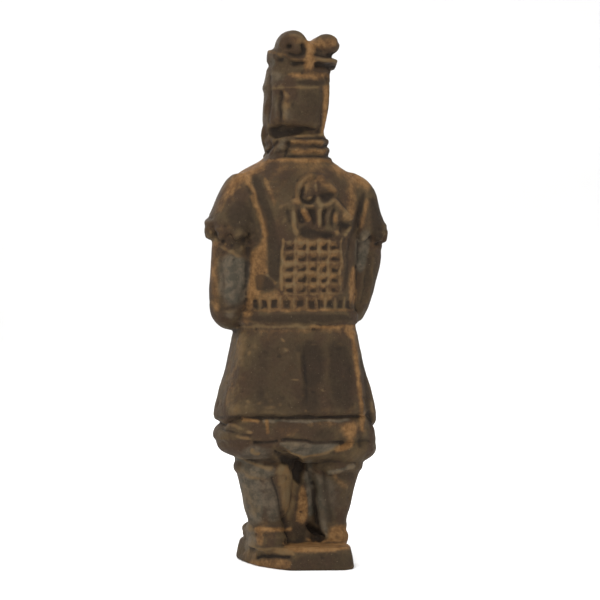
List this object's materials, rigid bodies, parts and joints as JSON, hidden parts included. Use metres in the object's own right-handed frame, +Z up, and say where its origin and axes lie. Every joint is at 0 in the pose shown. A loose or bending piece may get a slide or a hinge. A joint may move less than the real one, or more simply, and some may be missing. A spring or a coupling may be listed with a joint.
{
  "type": "terracotta warrior statuette",
  "caption": "Small souvenir statuette of a standing officer with folded hands, in armour, robe and a hat with rolled tails, cast in dark clay with its low base, to stand on a shelf.",
  "frame": {"origin": "on the underside of the base, below the middle of the figure's body", "axes": "+Z up, -Y the way the figure faces, +X towards the figure's left hand"},
  "size_m": [0.0528, 0.0366, 0.1485],
  "materials": {
    "clay": "matt, dark, rubbed with ochre earth"
  },
  "bodies": {
    "root": {"warrior_statuette": "clay"}
  },
  "joints": []
}
